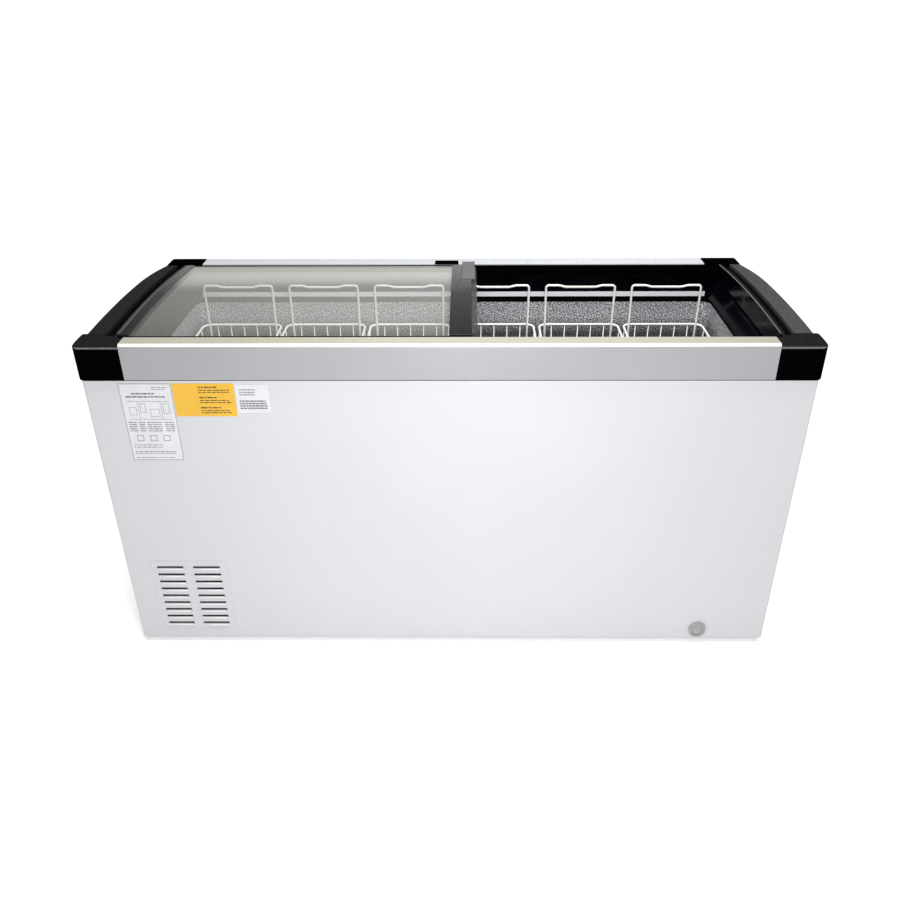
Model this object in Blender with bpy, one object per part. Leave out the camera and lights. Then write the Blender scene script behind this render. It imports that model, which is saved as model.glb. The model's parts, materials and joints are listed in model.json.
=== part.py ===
"""Sliding-top display chest freezer: steel cabinet, embossed tank, six wire baskets, two curved glass lids.

Metres, +Z up. X runs along the freezer, the front faces -Y, the origin is on the floor under the middle.
"""

import math

import bmesh
import bpy
from mathutils import Vector

# Cabinet
WIDTH = 1.520
DEPTH = 0.640
FOOT_HEIGHT = 0.015
CABINET_HEIGHT = 0.659
SHEET = 0.0012
GAP = 0.0003
CORNER_RADIUS = 0.006
CORNER_RETURN = 0.025

HALF = WIDTH / 2
FRONT = -DEPTH / 2
BACK = DEPTH / 2
RIM = FOOT_HEIGHT + CABINET_HEIGHT
PANEL_TOP = RIM + 0.009
INSIDE_X = HALF - SHEET - 2 * GAP
INSIDE_Y = BACK - SHEET - 2 * GAP
TRAY_FLANGE = 0.012

# Louvres in the front panel, two columns
LOUVRE_COLUMNS = ((-0.689, -0.627), (-0.604, -0.541))
LOUVRE_ROWS = 9
LOUVRE_LOWEST = FOOT_HEIGHT + 0.0408
LOUVRE_PITCH = 0.0202
LOUVRE_SLOT = 0.005
LOUVRE_LIP = 0.0022

# Drain at the foot of the front panel
DRAIN_X = 0.598
DRAIN_Z = FOOT_HEIGHT + 0.026
DRAIN_CAP_RADIUS = 0.021
DRAIN_TUBE_RADIUS = 0.008

# Tank and what surrounds its mouth
TANK_X = 0.658
TANK_Y = 0.231
TANK_FLOOR = 0.105
TANK_TOP = RIM - 0.0014
TANK_WALL = 0.001
TANK_CORNER = 0.025
STEP_X = -0.4385
STEP_TOP = 0.330
COIL_SPACE = 0.0095
COIL_RADIUS = 0.004
COIL_TURNS = 5
COIL_TOP = 0.655
COIL_BOTTOM = 0.400
LEDGE_Z = TANK_TOP + GAP
LEDGE_THICK = 0.004
MOUTH_X = 0.6785
MOUTH_Y = 0.263
COLLAR_BOTTOM = RIM - 0.003
DECK = RIM + 0.0132

# Machine compartment, low at the left
BAY_RIGHT = -0.505
BAY_TOP = 0.285
FAN_X = -0.632
FAN_Z = 0.145
FAN_RADIUS = 0.075
BRACKET_Y = -0.214
BRACKET_LEFT = -0.735
BRACKET_RIGHT = -0.530
COMPRESSOR_Y = 0.150
CONDENSER_LOW = (-0.730, -0.290)
CONDENSER_HIGH = (-0.535, -0.245, 0.245)
CONDENSER_ROWS = 9
CONDENSER_PITCH = 0.022

# Rear vent, thermostat and mains lead gland
VENT_LOW = (-0.735, 0.060)
VENT_HIGH = (-0.515, 0.260)
VENT_MARGIN = 0.010
VENT_COLUMNS = ((-0.715, -0.635), (-0.615, -0.535))
VENT_ROWS = 6
VENT_FIRST = 0.130
VENT_PITCH = 0.018
VENT_SLOT = 0.006
KNOB_X = -0.675
KNOB_Z = 0.095
KNOB_RADIUS = 0.018
GLAND_X = -0.600
GLAND_Z = 0.040

# The arch that the lids and the end frames follow
ARCH_TOP = RIM + 0.0956
ARCH_CREST_Y = -0.085
ARCH_RADIUS = 4.167
ARCH_STEPS = 16

# Rails
OVERHANG = 0.008
RAIL_FRONT = FRONT - OVERHANG
RAIL_BACK = BACK + OVERHANG
RAIL_BOTTOM = RIM + 0.0135
FRONT_RAIL_END = 0.667
FRONT_RAIL_TOP = RIM + 0.088
FRONT_RAIL_INNER = -0.287
REAR_RAIL_END = 0.6425
REAR_RAIL_TOP = RIM + 0.080
REAR_RAIL_INNER = 0.2765
RAIL_WALL = 0.0025
RAIL_CHAMFER = 0.0065
CAP_THICK = 0.0012

# End frames and corner blocks
FRAME_INNER = 0.6793
FRAME_OUTER = 0.7500
FRAME_TAPER = 0.0120
TAPER_FROM = 0.080
FRAME_FRONT = -0.2697
FRAME_REAR = 0.2755
SLOT_INNER = 0.687
SLOT_OUTER = 0.707
SLOT_FRONT = -0.279
SLOT_DEPTH = 0.008
BLOCK_OUTER = 0.7625
BLOCK_PLAN_ROUND = 0.0115
BLOCK_TOP_ROUND = 0.012
BLOCK_FOOT_ROUND = 0.005
BLOCK_SHOULDER = RIM + 0.0826
REAR_BLOCK_OUTER = 0.7365
REAR_BLOCK_ROUND = 0.010
REAR_BLOCK_TOP = RIM + 0.083

# Lids
GLASS = 0.004
UPPER_DROP = 0.0015
LOWER_DROP = 0.0130
GLASS_FRONT = -0.2785
GLASS_REAR = 0.2656
LID_LEFT = -0.6775
LOWER_LID_RIGHT = 0.025
UPPER_LID_RIGHT = 0.060
FRONT_LIP = 0.0055
REAR_LIP = 0.0024
SHELF_FRONT = 0.0061
SHELF_REAR = 0.0086
LID_SEAT = 0.0142
SEAT_THICK = 0.004
STILE_WIDTH = 0.0245
WIDE_STILE = 0.0467
END_WIDTH = 0.0175
WEB = 0.007
BRUSH_WIDTH = 0.0125
GRIP_LEFT = 0.0250
GRIP_RIGHT = 0.0560
GRIP_FRONT = 0.100
GRIP_REAR = 0.2750
TRACK_END = 0.6782
RUNNING_GAP = 0.0005

# Baskets
BASKETS = 6
BASKET_PITCH = 0.2155
BASKET_LAST_X = 0.5375
BASKET_WIDTH = 0.207
BASKET_FRONT = -0.215
BASKET_REAR = 0.210
BASKET_RIM = RIM - 0.050
BASKET_CORNER = 0.022
BASKET_WALL = 0.003
BASKET_LIFT_GAP = 0.0015
HANDLE_TOP = RIM + 0.049
HANDLE_HALF = 0.0863
HANDLE_RADIUS = 0.0028
HANDLE_BEND = 0.010
HANDLE_DIP = 0.004
HANDLE_FOOT = 0.560

PALETTE = {
    "white_steel": ((0.80, 0.82, 0.84), 0.35, 0.0),
    "grey_steel": ((0.45, 0.46, 0.47), 0.45, 0.9),
    "satin_rail": ((0.55, 0.57, 0.60), 0.35, 0.6),
    "cream_plastic": ((0.78, 0.75, 0.66), 0.45, 0.0),
    "black_plastic": ((0.02, 0.02, 0.022), 0.45, 0.0),
    "gloss_black": ((0.008, 0.008, 0.010), 0.15, 0.0),
    "embossed_aluminium": ((0.62, 0.63, 0.66), 0.35, 1.0),
    "aluminium": ((0.70, 0.70, 0.78), 0.30, 1.0),
    "glass": ((0.62, 0.66, 0.62), 0.05, 0.0),
    "white_wire": ((0.86, 0.85, 0.78), 0.40, 0.0),
    "grey_plastic": ((0.35, 0.35, 0.36), 0.50, 0.0),
    "foam": ((0.85, 0.75, 0.50), 0.90, 0.0),
    "copper": ((0.72, 0.40, 0.25), 0.35, 1.0),
    "brush": ((0.06, 0.06, 0.06), 0.95, 0.0),
    "rubber": ((0.03, 0.03, 0.03), 0.80, 0.0),
}


def clear_scene():
    for old in list(bpy.data.objects):
        bpy.data.objects.remove(old)


def material(name, finish):
    colour, roughness, metallic = PALETTE[finish]
    made = bpy.data.materials.new(name)
    made.use_nodes = True
    shader = made.node_tree.nodes["Principled BSDF"]
    shader.inputs["Base Color"].default_value = (*colour, 1.0)
    shader.inputs["Roughness"].default_value = roughness
    shader.inputs["Metallic"].default_value = metallic
    made.diffuse_color = (*colour, 1.0)
    return made


def add(name, bm, finish=None):
    """Puts a bmesh in the scene as one object. With no finish it is a cutter, hidden from renders."""
    bmesh.ops.recalc_face_normals(bm, faces=bm.faces[:])
    mesh = bpy.data.meshes.new(name)
    bm.to_mesh(mesh)
    bm.free()
    obj = bpy.data.objects.new(name, mesh)
    bpy.context.scene.collection.objects.link(obj)
    if finish:
        mesh.materials.append(material(name, finish))
    else:
        obj.hide_render = True
        obj.display_type = "WIRE"
    return obj


def prism(name, outline, axis, low, high, finish=None):
    """Extrudes a closed outline of pairs, the other two axes in X, Y, Z order, along one axis."""
    bm = bmesh.new()
    rings = []
    for level in (low, high):
        ring = []
        for first, second in outline:
            place = {
                "X": (level, first, second),
                "Y": (first, level, second),
                "Z": (first, second, level),
            }[axis]
            ring.append(bm.verts.new(place))
        rings.append(ring)
    bm.faces.new(rings[0])
    bm.faces.new(rings[1])
    for here in range(len(outline)):
        there = (here + 1) % len(outline)
        bm.faces.new((rings[0][here], rings[0][there], rings[1][there], rings[1][here]))
    return add(name, bm, finish)


def box(name, low, high, finish=None):
    outline = ((low[0], low[1]), (high[0], low[1]), (high[0], high[1]), (low[0], high[1]))
    return prism(name, outline, "Z", low[2], high[2], finish)


def rounded(low, high, radius, steps=4):
    """A rectangle with four round corners, counter-clockwise from the lower right."""
    corners = (
        (high[0] - radius, low[1] + radius, -90),
        (high[0] - radius, high[1] - radius, 0),
        (low[0] + radius, high[1] - radius, 90),
        (low[0] + radius, low[1] + radius, 180),
    )
    outline = []
    for x, y, start in corners:
        for step in range(steps + 1):
            angle = math.radians(start + 90 * step / steps)
            outline.append((x + radius * math.cos(angle), y + radius * math.sin(angle)))
    return outline


def turned(name, profile, centre, axis, finish=None, sides=24):
    """Turns a profile of (radius, height) pairs, which starts and ends on the axis, about an axis."""
    bm = bmesh.new()
    rings = []
    for radius, height in profile:
        ring = []
        for side in range(sides if radius > 0 else 1):
            angle = 2 * math.pi * side / sides
            across = radius * math.cos(angle)
            along = radius * math.sin(angle)
            if axis == "Z":
                offset = Vector((across, along, height))
            else:
                offset = Vector((across, height, along))
            ring.append(bm.verts.new(Vector(centre) + offset))
        rings.append(ring)
    for lower, upper in zip(rings, rings[1:]):
        for side in range(sides):
            after = (side + 1) % sides
            corners = [lower[side % len(lower)], lower[after % len(lower)]]
            corners += [upper[after % len(upper)], upper[side % len(upper)]]
            bm.faces.new(list(dict.fromkeys(corners)))
    return smooth(add(name, bm, finish))


def smooth(obj, angle=35):
    obj.data.shade_smooth()
    obj.data.set_sharp_from_angle(angle=math.radians(angle))
    return obj


def tube(name, points, radius, finish=None, sides=8):
    """Sweeps a round section along a path, turning as little as it can from point to point."""
    path = [Vector(point) for point in points]
    bm = bmesh.new()
    across = Vector((0.3, 0.5, 0.8))
    rings = []
    for index, point in enumerate(path):
        ahead = path[min(index + 1, len(path) - 1)] - path[max(index - 1, 0)]
        ahead.normalize()
        across = (across - ahead * across.dot(ahead)).normalized()
        other = ahead.cross(across)
        ring = []
        for side in range(sides):
            angle = 2 * math.pi * side / sides
            offset = across * math.cos(angle) + other * math.sin(angle)
            ring.append(bm.verts.new(point + radius * offset))
        rings.append(ring)
    for lower, upper in zip(rings, rings[1:]):
        for side in range(sides):
            after = (side + 1) % sides
            bm.faces.new((lower[side], lower[after], upper[after], upper[side]))
    bm.faces.new(rings[0])
    bm.faces.new(rings[-1])
    return smooth(add(name, bm, finish), 50)


def boolean(obj, other, operation):
    modifier = obj.modifiers.new(operation.title() + "_" + other.name, "BOOLEAN")
    modifier.object = other
    modifier.operation = operation
    modifier.solver = "EXACT"
    return obj


def cut(obj, *cutters):
    for cutter in cutters:
        boolean(obj, cutter, "DIFFERENCE")
    return obj


def join(obj, *others):
    for other in others:
        boolean(obj, other, "UNION")
    return obj


def arch(y, drop=0.0):
    """Height of the lid arch at a depth, less a drop below it."""
    across = y - ARCH_CREST_Y
    return ARCH_TOP - ARCH_RADIUS + math.sqrt(ARCH_RADIUS**2 - across**2) - drop


def arched(front, rear, top_drop, bottom_drop):
    """The side outline of a band between two drops below the arch."""
    depths = [front + (rear - front) * step / ARCH_STEPS for step in range(ARCH_STEPS + 1)]
    outline = [(y, arch(y, top_drop)) for y in depths]
    outline += [(y, arch(y, bottom_drop)) for y in reversed(depths)]
    return outline


def arched_plate(name, left, right, front, rear, top_drop, bottom_drop, finish=None):
    plate = prism(name, arched(front, rear, top_drop, bottom_drop), "X", left, right, finish)
    return smooth(plate, 30)


def sheet_section():
    """The front sheet seen from above: outer and inner lines with a quarter bend at both corners."""
    lines = []
    for radius in (CORNER_RADIUS, CORNER_RADIUS - SHEET):
        right = []
        for step in range(5):
            angle = math.radians(-90 + 90 * step / 4)
            x = HALF - CORNER_RADIUS + radius * math.cos(angle)
            right.append((x, FRONT + CORNER_RADIUS + radius * math.sin(angle)))
        right.append((HALF - CORNER_RADIUS + radius, FRONT + CORNER_RETURN))
        lines.append([(-x, y) for x, y in reversed(right)] + right)
    outer, inner = lines
    return outer + inner[::-1]


def front_panel():
    """Front sheet that returns round both corners, with its louvres and the drain hole."""
    panel = prism("front_panel", sheet_section(), "Z", FOOT_HEIGHT, PANEL_TOP, "white_steel")
    slots = bmesh.new()
    lips = bmesh.new()
    for left, right in LOUVRE_COLUMNS:
        for row in range(LOUVRE_ROWS):
            base = LOUVRE_LOWEST + row * LOUVRE_PITCH
            slot = ((FRONT - 0.01, base), (FRONT + 0.01, base))
            slot += ((FRONT + 0.01, base + LOUVRE_SLOT), (FRONT - 0.01, base + LOUVRE_SLOT))
            add_bar(slots, slot, left, right)
            root = FRONT + SHEET / 2
            lip = ((root, base - 0.007), (FRONT - LOUVRE_LIP, base - 0.002))
            lip += ((FRONT - LOUVRE_LIP, base + 0.0005), (root, base - 0.0005))
            add_bar(lips, lip, left, right)
    cut(panel, add("louvre_slots", slots))
    join(panel, add("louvre_lips", lips))
    hole = ((0, -0.02), (DRAIN_TUBE_RADIUS + GAP, -0.02), (DRAIN_TUBE_RADIUS + GAP, 0.02), (0, 0.02))
    cut(panel, turned("drain_hole", hole, (DRAIN_X, FRONT, DRAIN_Z), "Y"))
    return panel


def add_bar(bm, section, left, right):
    """Adds to a bmesh a bar along X with a four-sided section of (y, z) pairs."""
    low = [bm.verts.new((left, y, z)) for y, z in section]
    high = [bm.verts.new((right, y, z)) for y, z in section]
    bm.faces.new(low)
    bm.faces.new(high)
    for here in range(4):
        there = (here + 1) % 4
        bm.faces.new((low[here], low[there], high[there], high[here]))


def side_and_back_panels():
    for side, name in ((-1, "side_panel_left"), (1, "side_panel_right")):
        edges = sorted((side * HALF, side * (HALF - SHEET)))
        low = (edges[0], FRONT + CORNER_RETURN + GAP, FOOT_HEIGHT)
        box(name, low, (edges[1], BACK, PANEL_TOP), "white_steel")
    reach = HALF - SHEET - GAP
    back = box("back_panel", (-reach, BACK - SHEET, FOOT_HEIGHT), (reach, BACK, PANEL_TOP), "grey_steel")
    low = (VENT_LOW[0] + VENT_MARGIN, BACK - 0.02, VENT_LOW[1] + VENT_MARGIN)
    high = (VENT_HIGH[0] - VENT_MARGIN, BACK + 0.02, VENT_HIGH[1] - VENT_MARGIN)
    cut(back, box("back_opening", low, high))
    low = (VENT_LOW[0], BACK + GAP, VENT_LOW[1])
    vent = box("rear_vent_panel", low, (VENT_HIGH[0], BACK + GAP + SHEET, VENT_HIGH[1]), "grey_steel")
    slots = bmesh.new()
    for left, right in VENT_COLUMNS:
        for row in range(VENT_ROWS):
            base = VENT_FIRST + row * VENT_PITCH
            top = base + VENT_SLOT
            section = ((BACK - 0.02, base), (BACK + 0.02, base), (BACK + 0.02, top), (BACK - 0.02, top))
            add_bar(slots, section, left, right)
    cut(vent, add("rear_slots", slots))
    shaft = ((0, -0.02), (0.005, -0.02), (0.005, 0.02), (0, 0.02))
    cut(vent, turned("shaft_hole", shaft, (KNOB_X, BACK, KNOB_Z), "Y", sides=12))


def base_and_feet():
    low = FOOT_HEIGHT + 2 * GAP
    outer = rounded((-INSIDE_X, -INSIDE_Y), (INSIDE_X, INSIDE_Y), CORNER_RADIUS)
    tray = prism("base_tray", outer, "Z", low, low + TRAY_FLANGE, "grey_steel")
    inset = 0.0015
    room = rounded(
        (inset - INSIDE_X, inset - INSIDE_Y), (INSIDE_X - inset, INSIDE_Y - inset), CORNER_RADIUS - inset
    )
    cut(tray, prism("tray_room", room, "Z", low + inset, low + 0.05))
    for x, across in ((-0.68, "left"), (0.68, "right")):
        for y, along in ((-0.26, "front"), (0.26, "rear")):
            profile = ((0, 0), (0.017, 0), (0.020, 0.003), (0.020, FOOT_HEIGHT), (0, FOOT_HEIGHT))
            turned(f"foot_{along}_{across}", profile, (x, y, 0), "Z", "rubber", sides=20)


def tank_outline(grow):
    reach_x = TANK_X + grow
    reach_y = TANK_Y + grow
    return rounded((-reach_x, -reach_y), (reach_x, reach_y), TANK_CORNER + grow, 5)


def stepped_block(name, grow, low, high, finish=None):
    """The tank's outer shape grown on all sides, with the step over the machine compartment taken out."""
    block = prism(name, tank_outline(grow), "Z", low, high, finish)
    step_low = (-HALF, -DEPTH, low - 0.05)
    step = box(name + "_step", step_low, (STEP_X - grow, DEPTH, STEP_TOP - min(grow, GAP)))
    return cut(block, step)


def tank():
    shell = stepped_block("inner_tank", 0.0, TANK_FLOOR, TANK_TOP, "embossed_aluminium")
    room = prism("tank_room", tank_outline(-TANK_WALL), "Z", TANK_FLOOR + TANK_WALL, 0.8)
    step_low = (-HALF, -DEPTH, 0)
    cut(room, box("room_step", step_low, (STEP_X + TANK_WALL, DEPTH, STEP_TOP + TANK_WALL)))
    return cut(shell, room)


def foam():
    outer = rounded((-INSIDE_X, -INSIDE_Y), (INSIDE_X, INSIDE_Y), CORNER_RADIUS)
    bottom = FOOT_HEIGHT + 3 * GAP + TRAY_FLANGE
    block = prism("foam_insulation", outer, "Z", bottom, COLLAR_BOTTOM - GAP, "foam")
    room = stepped_block("foam_room", COIL_SPACE, TANK_FLOOR - GAP, 0.8)
    bay = box("foam_bay", (-HALF, -DEPTH, 0), (BAY_RIGHT, DEPTH, BAY_TOP))
    return cut(block, room, bay, tube("drain_bore", drain_route(), DRAIN_TUBE_RADIUS + 0.0004))


def drain_route():
    """From under the tank floor down to the drain, then forward through the front panel."""
    bend = 0.020
    turn = -0.200
    points = [(DRAIN_X, turn, TANK_FLOOR - GAP)]
    for step in range(5):
        angle = math.radians(90 * step / 4)
        y = turn - bend + bend * math.cos(angle)
        points.append((DRAIN_X, y, DRAIN_Z + bend - bend * math.sin(angle)))
    points.append((DRAIN_X, FRONT, DRAIN_Z))
    return points


def drain():
    tube("drain_tube", drain_route(), DRAIN_TUBE_RADIUS, "grey_plastic")
    edge = DRAIN_CAP_RADIUS
    profile = (
        (0, 0), (edge, 0), (edge, -0.0035), (edge - 0.0015, -0.005), (0.0145, -0.005),
        (0.0135, -0.0035), (0.0115, -0.0035), (0.0105, -0.005), (0, -0.005),
    )
    turned("drain_cap", profile, (DRAIN_X, FRONT - GAP, DRAIN_Z), "Y", "grey_plastic", sides=32)


def coil_path():
    """Round and round the tank in the space before the foam, going down steadily."""
    offset = COIL_SPACE / 2
    loop = tank_outline(offset)
    total = COIL_TURNS * len(loop)
    points = []
    for index in range(total):
        x, y = loop[index % len(loop)]
        points.append((x, y, COIL_TOP + (COIL_BOTTOM - COIL_TOP) * index / (total - 1)))
    return points


def mouth():
    """The black ledge over the tank's rim, the collar that carries the rails, and the bright rear strip."""
    outline = rounded((-MOUTH_X, -MOUTH_Y), (MOUTH_X, MOUTH_Y), 0.004)
    ledge = prism("breaker_ledge", outline, "Z", LEDGE_Z, LEDGE_Z + LEDGE_THICK, "black_plastic")
    cut(ledge, prism("ledge_mouth", tank_outline(-0.0015), "Z", LEDGE_Z - 0.01, LEDGE_Z + 0.01))
    outer = rounded((-INSIDE_X, -INSIDE_Y), (INSIDE_X, INSIDE_Y), CORNER_RADIUS)
    collar = prism("top_collar", outer, "Z", COLLAR_BOTTOM, DECK, "black_plastic")
    grow = 0.0005
    inner = rounded((-MOUTH_X - grow, -MOUTH_Y - grow), (MOUTH_X + grow, MOUTH_Y + grow), 0.004)
    cut(collar, prism("collar_mouth", inner, "Z", COLLAR_BOTTOM - 0.01, DECK + 0.01))
    base = LEDGE_Z + LEDGE_THICK + GAP
    strip = (-0.650, MOUTH_Y - 0.0025, base), (0.650, MOUTH_Y, RIM + 0.015)
    box("rear_trim_strip", *strip, "aluminium")


def machine_bay():
    floor = FOOT_HEIGHT + 0.0024
    pot = (
        (0, 0), (0.062, 0), (0.070, 0.012), (0.075, 0.030), (0.075, 0.120),
        (0.066, 0.145), (0.042, 0.160), (0, 0.166),
    )
    turned("compressor", pot, (FAN_X, COMPRESSOR_Y, floor), "Z", "black_plastic")
    core = box("condenser", (*CONDENSER_LOW, floor), CONDENSER_HIGH, "grey_steel")
    gaps = bmesh.new()
    front = CONDENSER_LOW[1] - 0.010
    rear = CONDENSER_HIGH[1] - 0.017
    for row in range(CONDENSER_ROWS):
        base = 0.040 + row * CONDENSER_PITCH
        section = ((front, base), (rear, base), (rear, base + 0.012), (front, base + 0.012))
        add_bar(gaps, section, CONDENSER_LOW[0] + 0.008, CONDENSER_HIGH[0] - 0.008)
    cut(core, add("condenser_gaps", gaps))
    low = (BRACKET_LEFT, BRACKET_Y - 0.001, floor)
    plate = box("fan_bracket", low, (BRACKET_RIGHT, BRACKET_Y + 0.001, 0.250), "grey_steel")
    ring = ((0, -0.02), (FAN_RADIUS + 0.004, -0.02), (FAN_RADIUS + 0.004, 0.02), (0, 0.02))
    cut(plate, turned("fan_opening", ring, (FAN_X, BRACKET_Y, FAN_Z), "Y", sides=28))
    for name, x in (("bracket_arm_left", BRACKET_LEFT + 0.007), ("bracket_arm_right", BRACKET_RIGHT - 0.016)):
        join(plate, box(name, (x, BRACKET_Y, FAN_Z - 0.008), (x + 0.010, -0.136, FAN_Z + 0.008)))
    low = (BRACKET_LEFT + 0.007, -0.139, FAN_Z - 0.008)
    join(plate, box("bracket_strap", low, (BRACKET_RIGHT - 0.006, -0.136, FAN_Z + 0.008)))
    motor = ((0, -0.185), (0.020, -0.185), (0.026, -0.178), (0.026, -0.1393), (0, -0.1393))
    turned("fan_motor", motor, (FAN_X, 0, FAN_Z), "Y", "grey_steel")


def fan_blade():
    """Five pitched blades on a hub, turning about an axis along Y."""
    profile = ((0, -0.208), (0.014, -0.208), (0.018, -0.204), (0.018, -0.1855), (0, -0.1855))
    hub = turned("fan_blade", profile, (FAN_X, 0, FAN_Z), "Y", "grey_plastic", sides=20)
    blades = bmesh.new()
    middle = -0.197
    for blade in range(5):
        angle = 2 * math.pi * blade / 5
        out = Vector((math.cos(angle), 0, math.sin(angle)))
        round_way = Vector((-math.sin(angle), 0, math.cos(angle)))
        ends = []
        for reach, half, pitch in ((0.012, 0.010, 0.006), (FAN_RADIUS, 0.026, 0.009)):
            centre = Vector((FAN_X, middle, FAN_Z)) + out * reach
            ring = []
            for side, face in ((-1, -1), (1, -1), (1, 1), (-1, 1)):
                lean = Vector((0, side * pitch + face * 0.0009, 0))
                ring.append(blades.verts.new(centre + round_way * side * half + lean))
            ends.append(ring)
        blades.faces.new(ends[0])
        blades.faces.new(ends[1])
        for here in range(4):
            there = (here + 1) % 4
            blades.faces.new((ends[0][here], ends[0][there], ends[1][there], ends[1][here]))
    join(hub, add("fan_blades", blades))


def controls():
    """Thermostat behind the rear vent panel, its knob outside it, and the mains lead's gland."""
    centre = (KNOB_X, BACK, KNOB_Z)
    low = (centre[0] - 0.020, BACK - 0.045, centre[2] - 0.018)
    high = (centre[0] + 0.020, BACK - SHEET - 0.002, centre[2] + 0.018)
    body = box("thermostat", low, high, "black_plastic")
    shaft = ((0, -0.004), (0.0035, -0.004), (0.0035, 0.0016), (0, 0.0016))
    join(body, turned("thermostat_shaft", shaft, centre, "Y", sides=12))
    edge = KNOB_RADIUS - 0.0015
    profile = ((0, 0.0020), (KNOB_RADIUS, 0.0020), (KNOB_RADIUS, 0.0055), (edge, 0.0070), (0, 0.0070))
    knob = turned("thermostat_knob", profile, centre, "Y", "grey_plastic", sides=24)
    high = (centre[0] + 0.002, BACK + 0.008, centre[2] + 0.017)
    join(knob, box("knob_ridge", (centre[0] - 0.002, BACK + 0.006, centre[2] - 0.017), high))
    gland = ((0, 0.0003), (0.013, 0.0003), (0.013, 0.0040), (0.009, 0.0075), (0, 0.0075))
    turned("cord_gland", gland, (GLAND_X, BACK, GLAND_Z), "Y", "black_plastic", sides=20)


def front_rails():
    """Satin face rail, the cream cap on it, and the black track that both lids run in."""
    wall = RAIL_WALL
    shoulder = BLOCK_SHOULDER
    top = FRONT_RAIL_TOP
    inner = FRONT_RAIL_INNER
    chamfer = RAIL_FRONT + RAIL_CHAMFER
    outline = (
        (RAIL_FRONT, RAIL_BOTTOM), (RAIL_FRONT, shoulder), (chamfer, top), (inner, top),
        (inner, top - wall), (chamfer + 0.001, top - wall), (RAIL_FRONT + wall, shoulder - 0.0015),
        (RAIL_FRONT + wall, RAIL_BOTTOM + wall), (inner, RAIL_BOTTOM + wall), (inner, RAIL_BOTTOM),
    )
    prism("front_rail", outline, "X", -FRONT_RAIL_END, FRONT_RAIL_END, "satin_rail")
    base = top + GAP
    rear = inner + 0.0022
    nose = RAIL_FRONT + 0.0008
    outline = (
        (nose, shoulder + 0.0012), (chamfer, base), (rear, base),
        (rear, base + CAP_THICK), (chamfer - 0.0004, base + CAP_THICK), (nose, shoulder + 0.0024),
    )
    prism("front_rail_cap", outline, "X", -FRONT_RAIL_END, FRONT_RAIL_END, "cream_plastic")
    face = GLASS_FRONT - FRONT_LIP - 2 * GAP
    wall_front = FRONT_RAIL_INNER + 2 * GAP
    upper = seat_bottom(GLASS_FRONT, UPPER_DROP) - RUNNING_GAP
    shelf = arch(GLASS_FRONT + SHELF_FRONT, LOWER_DROP) + RUNNING_GAP
    lower = seat_bottom(GLASS_FRONT, LOWER_DROP) - RUNNING_GAP
    outline = (
        (wall_front, DECK + GAP), (wall_front, top - GAP), (face, top - GAP), (face, upper),
        (GLASS_FRONT + SHELF_FRONT, upper), (GLASS_FRONT + SHELF_FRONT, shelf), (face, shelf), (face, lower),
        (GLASS_FRONT + LID_SEAT, lower), (GLASS_FRONT + LID_SEAT, lower - 0.005),
        (wall_front + 0.0200, lower - 0.005), (wall_front + 0.0200, DECK + GAP),
        (wall_front + 0.0175, DECK + GAP), (wall_front + 0.0175, lower - 0.005),
        (face, lower - 0.0075), (face, DECK + GAP),
    )
    prism("front_track", outline, "X", -TRACK_END, TRACK_END, "black_plastic")


def seat_bottom(edge, drop):
    """Underside of the edge profile that a lid's glass is seated on."""
    return arch(edge, drop) - GLASS - 0.0004 - SEAT_THICK


def rear_rails():
    """Black rear rail with its pale cap, the rear track, the panel under it and the centre stop."""
    wall = RAIL_WALL
    inner = REAR_RAIL_INNER
    outline = (
        (RAIL_BACK, RAIL_BOTTOM), (RAIL_BACK, REAR_RAIL_TOP), (inner, REAR_RAIL_TOP),
        (inner, REAR_RAIL_TOP - wall), (RAIL_BACK - wall, REAR_RAIL_TOP - wall),
        (RAIL_BACK - wall, RAIL_BOTTOM + wall), (inner, RAIL_BOTTOM + wall), (inner, RAIL_BOTTOM),
    )
    prism("rear_rail", outline, "X", -REAR_RAIL_END, REAR_RAIL_END, "satin_rail")
    base = REAR_RAIL_TOP + GAP
    cap = (-REAR_RAIL_END, inner + 0.0005, base), (REAR_RAIL_END, RAIL_BACK, base + CAP_THICK)
    box("rear_rail_cap", *cap, "white_steel")
    top = base + CAP_THICK + GAP
    low = (-0.045, inner - 0.0037, top)
    stop = box("centre_stop", low, (0.015, inner + 0.011, top + 0.0062), "black_plastic")
    bevel(stop, 0.0012, 2)
    face = GLASS_REAR + REAR_LIP + 2 * GAP
    wall_rear = inner - 0.004
    upper = seat_bottom(GLASS_REAR, UPPER_DROP) - RUNNING_GAP
    shelf = arch(GLASS_REAR - SHELF_REAR, LOWER_DROP) + RUNNING_GAP
    lower = seat_bottom(GLASS_REAR, LOWER_DROP) - RUNNING_GAP
    outline = (
        (wall_rear, lower - 0.004), (wall_rear, REAR_RAIL_TOP), (face, REAR_RAIL_TOP), (face, upper),
        (GLASS_REAR - SHELF_REAR, upper), (GLASS_REAR - SHELF_REAR, shelf), (face, shelf), (face, lower),
        (GLASS_REAR - LID_SEAT, lower), (GLASS_REAR - LID_SEAT, lower - 0.004),
    )
    prism("rear_track", outline, "X", -TRACK_END, TRACK_END, "black_plastic")
    low = (-0.676, MOUTH_Y + 0.001, DECK + GAP)
    high = (0.676, MOUTH_Y + 0.004, lower - 0.004 - GAP)
    box("rear_inner_panel", low, high, "gloss_black")


def bevel(obj, width, segments):
    modifier = obj.modifiers.new("Bevel", "BEVEL")
    modifier.width = width
    modifier.segments = segments
    modifier.limit_method = "ANGLE"
    return obj


def mirrored(outline, side):
    return [(side * first, second) for first, second in outline]


def frame_slot(name, side):
    """The slot along the top of an end frame, which runs on into the front corner block."""
    ends = sorted((side * SLOT_INNER, side * SLOT_OUTER))
    return prism(name, arched(SLOT_FRONT, 0.30, -0.02, SLOT_DEPTH), "X", *ends)


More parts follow.
